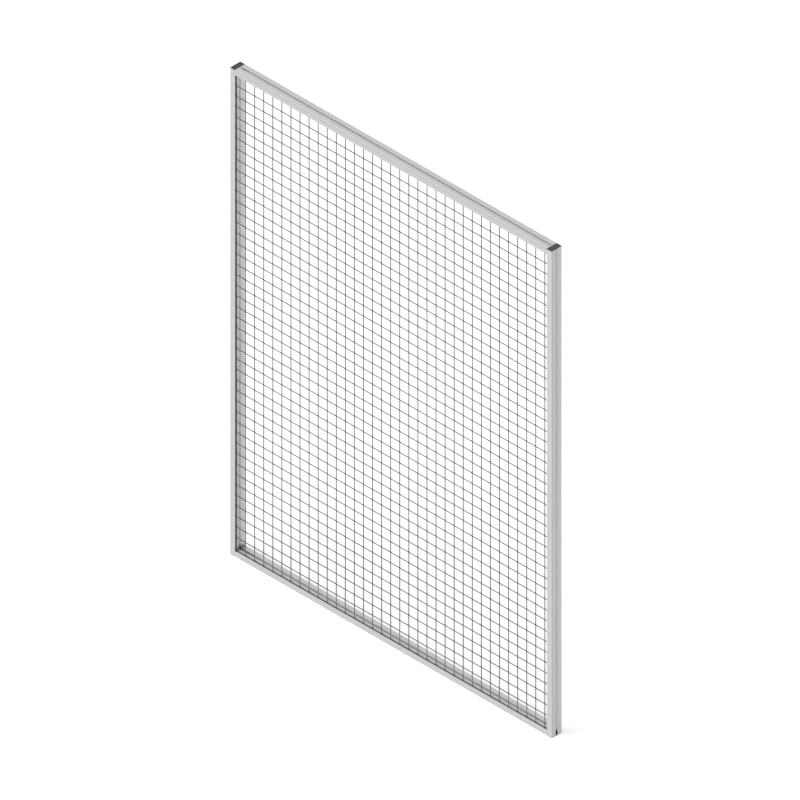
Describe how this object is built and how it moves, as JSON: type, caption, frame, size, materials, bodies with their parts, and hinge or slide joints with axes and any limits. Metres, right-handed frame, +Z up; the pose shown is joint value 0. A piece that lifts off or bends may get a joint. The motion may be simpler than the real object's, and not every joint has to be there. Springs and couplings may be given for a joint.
{
  "type": "machine guard fence panel",
  "caption": "Machine guard fence panel: an aluminium profile frame around a welded wire mesh, with black end caps.",
  "frame": {"origin": "on the left post's outer side face, on the land in front of its slot, at half the panel's height", "axes": "+X along the panel from the left post to the right post, +Y from the front to the back, +Z up"},
  "size_m": [1.418, 0.045, 1.854],
  "materials": {
    "frame": "satin",
    "mesh": "satin",
    "cap": "matte",
    "gasket": "matte",
    "fastener": "satin",
    "screw": "satin"
  },
  "bodies": {
    "root": {"left_post": "frame", "right_post": "frame", "top_rail": "frame", "bottom_rail": "frame", "top_left_cap": "cap", "top_right_cap": "cap", "bottom_left_cap": "cap", "bottom_right_cap": "cap", "top_left_fastener": "fastener", "top_right_fastener": "fastener", "bottom_left_fastener": "fastener", "bottom_right_fastener": "fastener", "top_left_screw": "screw", "top_right_screw": "screw", "bottom_left_screw": "screw", "bottom_right_screw": "screw", "left_gasket": "gasket", "right_gasket": "gasket", "top_gasket": "gasket", "bottom_gasket": "gasket", "mesh_band_1": "mesh", "mesh_band_2": "mesh", "mesh_band_3": "mesh", "mesh_band_4": "mesh", "mesh_band_5": "mesh"}
  },
  "joints": []
}
